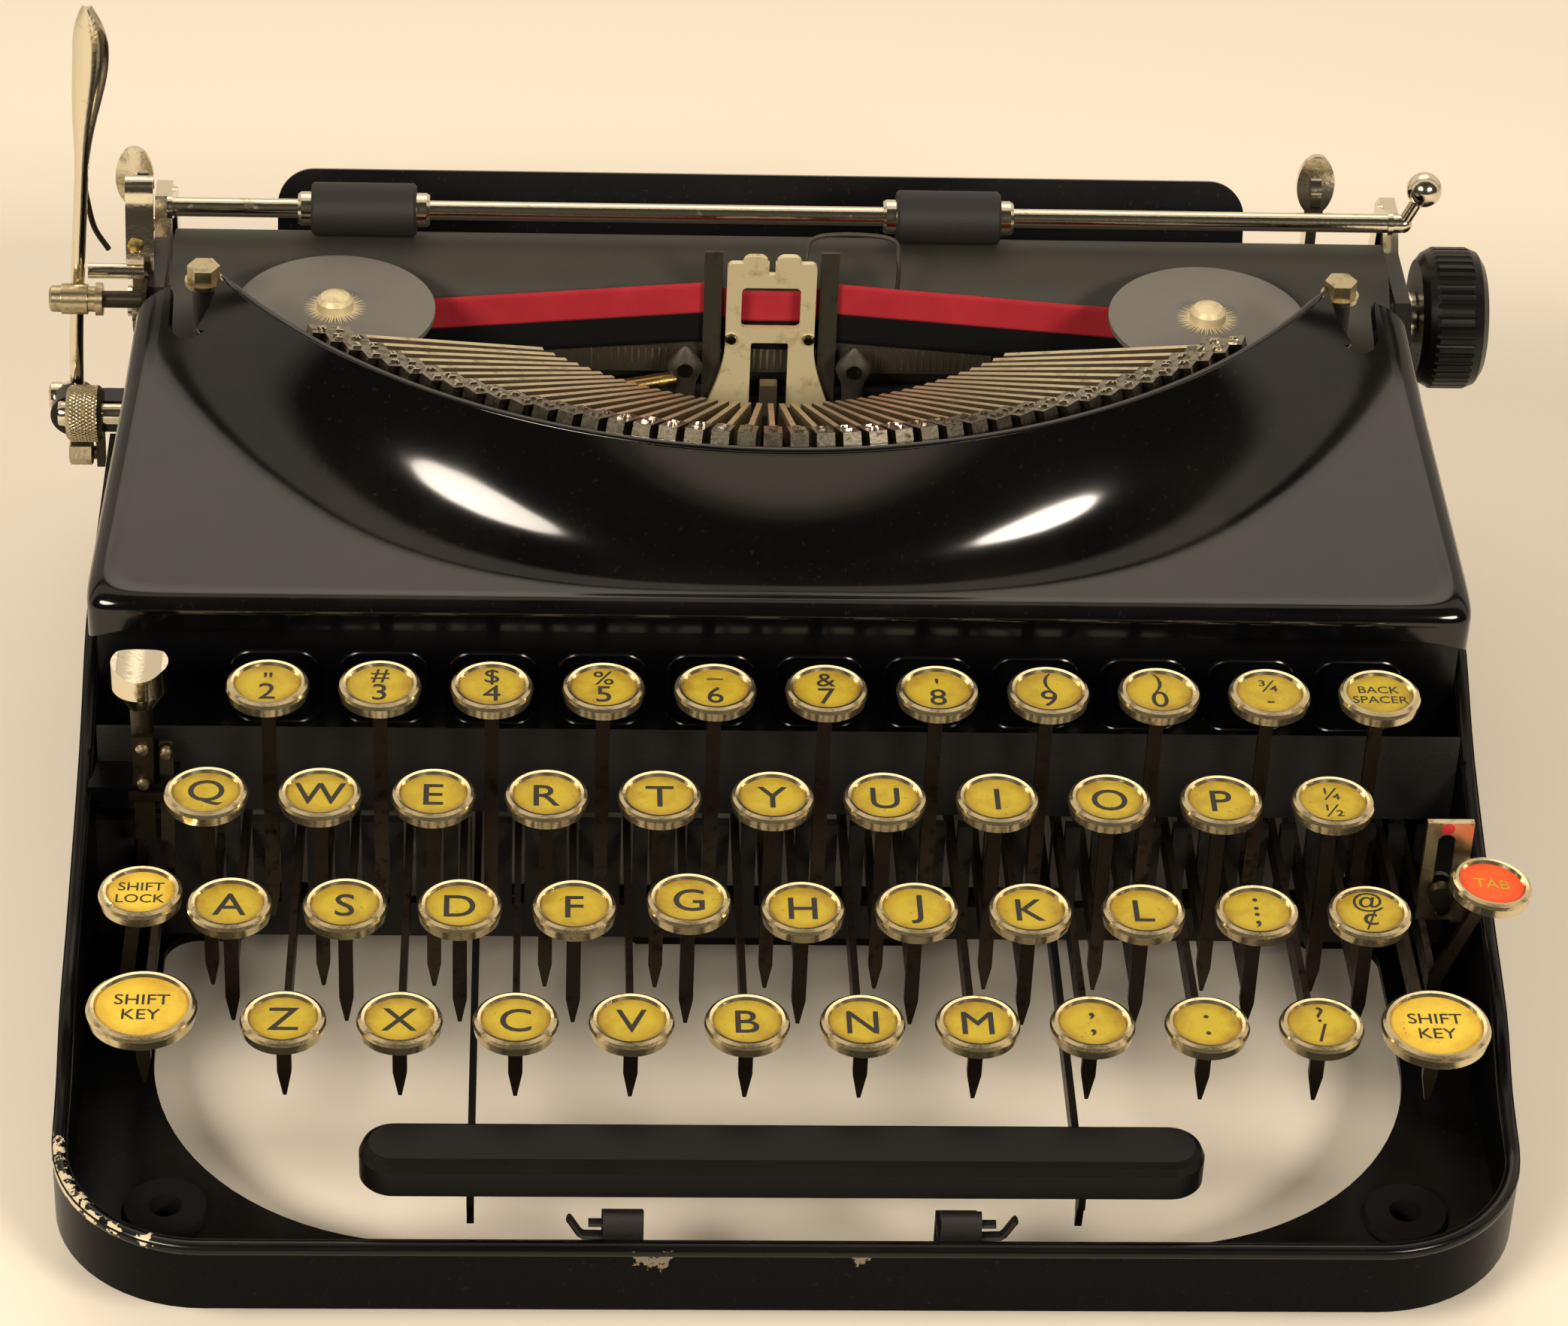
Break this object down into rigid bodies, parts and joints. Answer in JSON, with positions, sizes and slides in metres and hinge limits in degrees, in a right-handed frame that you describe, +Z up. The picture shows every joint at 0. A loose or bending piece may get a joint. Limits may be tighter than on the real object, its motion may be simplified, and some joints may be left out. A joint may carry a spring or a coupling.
{
  "type": "portable typewriter",
  "caption": "Portable typewriter with a hooded type basket, banks of round keys, a space bar, ribbon spools and a sliding, shifting carriage with a rubber platen.",
  "frame": {"origin": "on the table, midway between the four rubber feet", "axes": "+X along the carriage to the typist's right, +Y away from the typist, +Z up"},
  "size_m": [0.2722, 0.255, 0.137],
  "materials": {
    "black_enamel": "gloss",
    "hood_enamel": "gloss",
    "nickel": "worn polished",
    "key_rings": "worn polished",
    "bright_steel": "satin",
    "dark_steel": "satin",
    "foot_rubber": "matt",
    "platen_rubber": "matt",
    "black_plastic": "gloss",
    "ribbon_cloth": "matt",
    "grey_enamel": "satin",
    "cast_black": "satin",
    "bell_brass": "dull"
  },
  "bodies": {
    "base": {"base_frame": "black_enamel", "front_hood": "hood_enamel", "front_panel": "black_enamel", "rubber_feet": "foot_rubber", "hood_studs": "nickel", "type_segment": "cast_black", "type_bars": "bright_steel", "type_guide": "nickel", "ribbon": "ribbon_cloth", "lever_shaft": "bright_steel", "space_bar_guides": "black_enamel", "selector_plate": "nickel", "bell": "bell_brass"},
    "key_2_3": {"key_2_3": "key_rings"},
    "key_4_5": {"key_4_5": "key_rings"},
    "key_6_7": {"key_6_7": "key_rings"},
    "key_8_9": {"key_8_9": "key_rings"},
    "key_0_dash": {"key_0_dash": "key_rings"},
    "key_q_w": {"key_q_w": "key_rings"},
    "key_e_r": {"key_e_r": "key_rings"},
    "key_t_y": {"key_t_y": "key_rings"},
    "key_u_i": {"key_u_i": "key_rings"},
    "key_o_p": {"key_o_p": "key_rings"},
    "key_half": {"key_half": "key_rings"},
    "key_a_s": {"key_a_s": "key_rings"},
    "key_d_f": {"key_d_f": "key_rings"},
    "key_g": {"key_g": "key_rings"},
    "key_h_j": {"key_h_j": "key_rings"},
    "key_k_l": {"key_k_l": "key_rings"},
    "key_colon_at": {"key_colon_at": "key_rings"},
    "key_z_x": {"key_z_x": "key_rings"},
    "key_c_v": {"key_c_v": "key_rings"},
    "key_b_n": {"key_b_n": "key_rings"},
    "key_m_comma": {"key_m_comma": "key_rings"},
    "key_stop_slash": {"key_stop_slash": "key_rings"},
    "shift_lock": {"shift_lock": "key_rings"},
    "tab_key": {"tab_key": "key_rings"},
    "back_spacer": {"back_spacer": "key_rings"},
    "space_bar": {"space_bar": "black_plastic"},
    "shift_key_left": {"shift_key_left": "key_rings"},
    "shift_key_right": {"shift_key_right": "key_rings"},
    "margin_release": {"margin_release": "nickel"},
    "selector_lever": {"selector_lever": "dark_steel"},
    "type_bar_g": {"type_bar_g": "bright_steel"},
    "ribbon_vibrator": {"ribbon_vibrator": "dark_steel"},
    "spool_left": {"spool_left": "grey_enamel"},
    "spool_right": {"spool_right": "grey_enamel"},
    "shift_frame": {"shift_frame": "bright_steel"},
    "carriage": {"carriage_frame": "black_enamel", "paper_table": "black_enamel"},
    "platen": {"platen_roller": "platen_rubber", "platen_shaft": "nickel", "platen_knob": "black_plastic"},
    "feed_roller": {"feed_roller": "platen_rubber"},
    "paper_bail": {"paper_bail": "nickel"},
    "bail_rollers": {"bail_rollers": "platen_rubber"},
    "return_lever": {"return_lever": "nickel"},
    "release_lever_left": {"release_lever_left": "nickel"},
    "release_lever_right": {"release_lever_right": "nickel"},
    "mainspring_drum": {"mainspring_drum": "dark_steel"}
  },
  "joints": [
    {"name": "key_2_3_press", "type": "hinge", "parent": "base", "child": "key_2_3", "pos_m": [0, 0.052, 0.029], "axis": [1, 0, 0], "range_deg": [0, 3.5], "stiffness_Nm_per_rad": 0.5, "springref_deg": -8.59},
    {"name": "key_4_5_press", "type": "hinge", "parent": "base", "child": "key_4_5", "pos_m": [0, 0.052, 0.029], "axis": [1, 0, 0], "range_deg": [0, 3.5], "stiffness_Nm_per_rad": 0.5, "springref_deg": -8.59},
    {"name": "key_6_7_press", "type": "hinge", "parent": "base", "child": "key_6_7", "pos_m": [0, 0.052, 0.029], "axis": [1, 0, 0], "range_deg": [0, 3.5], "stiffness_Nm_per_rad": 0.5, "springref_deg": -8.59},
    {"name": "key_8_9_press", "type": "hinge", "parent": "base", "child": "key_8_9", "pos_m": [0, 0.052, 0.029], "axis": [1, 0, 0], "range_deg": [0, 3.5], "stiffness_Nm_per_rad": 0.5, "springref_deg": -8.59},
    {"name": "key_0_dash_press", "type": "hinge", "parent": "base", "child": "key_0_dash", "pos_m": [0, 0.052, 0.029], "axis": [1, 0, 0], "range_deg": [0, 3.5], "stiffness_Nm_per_rad": 0.5, "springref_deg": -8.59},
    {"name": "key_q_w_press", "type": "hinge", "parent": "base", "child": "key_q_w", "pos_m": [0, 0.052, 0.029], "axis": [1, 0, 0], "range_deg": [0, 3.5], "stiffness_Nm_per_rad": 0.5, "springref_deg": -8.59},
    {"name": "key_e_r_press", "type": "hinge", "parent": "base", "child": "key_e_r", "pos_m": [0, 0.052, 0.029], "axis": [1, 0, 0], "range_deg": [0, 3.5], "stiffness_Nm_per_rad": 0.5, "springref_deg": -8.59},
    {"name": "key_t_y_press", "type": "hinge", "parent": "base", "child": "key_t_y", "pos_m": [0, 0.052, 0.029], "axis": [1, 0, 0], "range_deg": [0, 3.5], "stiffness_Nm_per_rad": 0.5, "springref_deg": -8.59},
    {"name": "key_u_i_press", "type": "hinge", "parent": "base", "child": "key_u_i", "pos_m": [0, 0.052, 0.029], "axis": [1, 0, 0], "range_deg": [0, 3.5], "stiffness_Nm_per_rad": 0.5, "springref_deg": -8.59},
    {"name": "key_o_p_press", "type": "hinge", "parent": "base", "child": "key_o_p", "pos_m": [0, 0.052, 0.029], "axis": [1, 0, 0], "range_deg": [0, 3.5], "stiffness_Nm_per_rad": 0.5, "springref_deg": -8.59},
    {"name": "key_half_press", "type": "hinge", "parent": "base", "child": "key_half", "pos_m": [0, 0.052, 0.029], "axis": [1, 0, 0], "range_deg": [0, 3.5], "stiffness_Nm_per_rad": 0.5, "springref_deg": -8.59},
    {"name": "key_a_s_press", "type": "hinge", "parent": "base", "child": "key_a_s", "pos_m": [0, 0.052, 0.029], "axis": [1, 0, 0], "range_deg": [0, 3.5], "stiffness_Nm_per_rad": 0.5, "springref_deg": -8.59},
    {"name": "key_d_f_press", "type": "hinge", "parent": "base", "child": "key_d_f", "pos_m": [0, 0.052, 0.029], "axis": [1, 0, 0], "range_deg": [0, 3.5], "stiffness_Nm_per_rad": 0.5, "springref_deg": -8.59},
    {"name": "key_g_press", "type": "hinge", "parent": "base", "child": "key_g", "pos_m": [0, 0.052, 0.029], "axis": [1, 0, 0], "range_deg": [0, 3.5], "stiffness_Nm_per_rad": 0.5, "springref_deg": -8.59},
    {"name": "key_h_j_press", "type": "hinge", "parent": "base", "child": "key_h_j", "pos_m": [0, 0.052, 0.029], "axis": [1, 0, 0], "range_deg": [0, 3.5], "stiffness_Nm_per_rad": 0.5, "springref_deg": -8.59},
    {"name": "key_k_l_press", "type": "hinge", "parent": "base", "child": "key_k_l", "pos_m": [0, 0.052, 0.029], "axis": [1, 0, 0], "range_deg": [0, 3.5], "stiffness_Nm_per_rad": 0.5, "springref_deg": -8.59},
    {"name": "key_colon_at_press", "type": "hinge", "parent": "base", "child": "key_colon_at", "pos_m": [0, 0.052, 0.029], "axis": [1, 0, 0], "range_deg": [0, 3.5], "stiffness_Nm_per_rad": 0.5, "springref_deg": -8.59},
    {"name": "key_z_x_press", "type": "hinge", "parent": "base", "child": "key_z_x", "pos_m": [0, 0.052, 0.029], "axis": [1, 0, 0], "range_deg": [0, 3.5], "stiffness_Nm_per_rad": 0.5, "springref_deg": -8.59},
    {"name": "key_c_v_press", "type": "hinge", "parent": "base", "child": "key_c_v", "pos_m": [0, 0.052, 0.029], "axis": [1, 0, 0], "range_deg": [0, 3.5], "stiffness_Nm_per_rad": 0.5, "springref_deg": -8.59},
    {"name": "key_b_n_press", "type": "hinge", "parent": "base", "child": "key_b_n", "pos_m": [0, 0.052, 0.029], "axis": [1, 0, 0], "range_deg": [0, 3.5], "stiffness_Nm_per_rad": 0.5, "springref_deg": -8.59},
    {"name": "key_m_comma_press", "type": "hinge", "parent": "base", "child": "key_m_comma", "pos_m": [0, 0.052, 0.029], "axis": [1, 0, 0], "range_deg": [0, 3.5], "stiffness_Nm_per_rad": 0.5, "springref_deg": -8.59},
    {"name": "key_stop_slash_press", "type": "hinge", "parent": "base", "child": "key_stop_slash", "pos_m": [0, 0.052, 0.029], "axis": [1, 0, 0], "range_deg": [0, 3.5], "stiffness_Nm_per_rad": 0.5, "springref_deg": -8.59},
    {"name": "shift_lock_press", "type": "hinge", "parent": "base", "child": "shift_lock", "pos_m": [0, 0.052, 0.029], "axis": [1, 0, 0], "range_deg": [0, 3.5], "stiffness_Nm_per_rad": 0.5, "springref_deg": -8.59},
    {"name": "tab_key_press", "type": "hinge", "parent": "base", "child": "tab_key", "pos_m": [0, 0.052, 0.029], "axis": [1, 0, 0], "range_deg": [0, 3.5], "stiffness_Nm_per_rad": 0.5, "springref_deg": -8.59},
    {"name": "back_spacer_press", "type": "hinge", "parent": "base", "child": "back_spacer", "pos_m": [0, 0.052, 0.029], "axis": [1, 0, 0], "range_deg": [0, 3.5], "stiffness_Nm_per_rad": 0.5, "springref_deg": -8.59},
    {"name": "space_bar_press", "type": "hinge", "parent": "base", "child": "space_bar", "pos_m": [0, 0.052, 0.029], "axis": [1, 0, 0], "range_deg": [0, 2.2], "stiffness_Nm_per_rad": 0.9, "springref_deg": -11.46},
    {"name": "shift_key_left_press", "type": "hinge", "parent": "base", "child": "shift_key_left", "pos_m": [0, 0.052, 0.029], "axis": [1, 0, 0], "range_deg": [0, 3.02]},
    {"name": "shift_key_right_press", "type": "hinge", "parent": "base", "child": "shift_key_right", "pos_m": [0, 0.052, 0.029], "axis": [1, 0, 0], "range_deg": [0, 3.02]},
    {"name": "margin_release_push", "type": "slide", "parent": "base", "child": "margin_release", "axis": [0, 0, -1], "range_m": [0, 0.004], "stiffness_N_per_m": 200, "springref_m": -0.003},
    {"name": "selector_slide", "type": "slide", "parent": "base", "child": "selector_lever", "axis": [0, 0, 1], "range_m": [0, 0.01]},
    {"name": "type_bar_g_swing", "type": "hinge", "parent": "base", "child": "type_bar_g", "pos_m": [-0.00138, 0.02363, 0.06186], "axis": [-0.9994, 0.0359, 0], "range_deg": [0, 98.52]},
    {"name": "vibrator_lift", "type": "slide", "parent": "base", "child": "ribbon_vibrator", "axis": [0, 0, 1], "range_m": [0, 0.006]},
    {"name": "spool_left_spin", "type": "hinge", "parent": "base", "child": "spool_left", "pos_m": [-0.0804, 0.0564, 0.08], "axis": [0, 0, 1], "continuous": true},
    {"name": "spool_right_spin", "type": "hinge", "parent": "base", "child": "spool_right", "pos_m": [0.0804, 0.0564, 0.08], "axis": [0, 0, 1], "continuous": true},
    {"name": "shift_lift", "type": "slide", "parent": "base", "child": "shift_frame", "axis": [0, 0.6, 0.8], "range_m": [0, 0.0065]},
    {"name": "carriage_slide", "type": "slide", "parent": "shift_frame", "child": "carriage", "axis": [1, 0, 0], "range_m": [-0.08, 0.08]},
    {"name": "platen_turn", "type": "hinge", "parent": "carriage", "child": "platen", "pos_m": [0, 0.082, 0.071], "axis": [1, 0, 0], "continuous": true},
    {"name": "feed_turn", "type": "hinge", "parent": "carriage", "child": "feed_roller", "pos_m": [0, 0.082, 0.0531], "axis": [1, 0, 0], "continuous": true},
    {"name": "bail_lift", "type": "hinge", "parent": "carriage", "child": "paper_bail", "pos_m": [0, 0.1, 0.066], "axis": [-1, 0, 0], "range_deg": [0, 20]},
    {"name": "bail_rollers_turn", "type": "hinge", "parent": "paper_bail", "child": "bail_rollers", "pos_m": [0, 0.0855, 0.0896], "axis": [1, 0, 0], "continuous": true},
    {"name": "return_lever_push", "type": "hinge", "parent": "carriage", "child": "return_lever", "pos_m": [-0.1305, 0.0757, 0.053], "axis": [0, 1, 0], "range_deg": [0, 12], "stiffness_Nm_per_rad": 0.08, "springref_deg": -11.46},
    {"name": "release_left_tip", "type": "hinge", "parent": "carriage", "child": "release_lever_left", "pos_m": [-0.118, 0.102, 0.076], "axis": [1, 0, 0], "range_deg": [0, 10]},
    {"name": "release_right_tip", "type": "hinge", "parent": "carriage", "child": "release_lever_right", "pos_m": [0.1055, 0.102, 0.06], "axis": [-1, 0, 0], "range_deg": [0, 10]},
    {"name": "drum_turn", "type": "hinge", "parent": "base", "child": "mainspring_drum", "pos_m": [-0.08, 0.115, 0.027], "axis": [0, 1, 0], "range_deg": [-370, 370]}
  ],
  "couplings": [
    {"joint": "type_bar_g_swing", "follows": "key_g_press", "ratio": 28.134},
    {"joint": "vibrator_lift", "follows": "key_g_press", "m_per_rad": 0.098123},
    {"joint": "shift_key_left_press", "follows": "shift_lift", "rad_per_m": 8.0554},
    {"joint": "shift_key_right_press", "follows": "shift_lift", "rad_per_m": 8.0554},
    {"joint": "feed_turn", "follows": "platen_turn", "ratio": -3.425},
    {"joint": "drum_turn", "follows": "carriage_slide", "rad_per_m": 79.4}
  ]
}
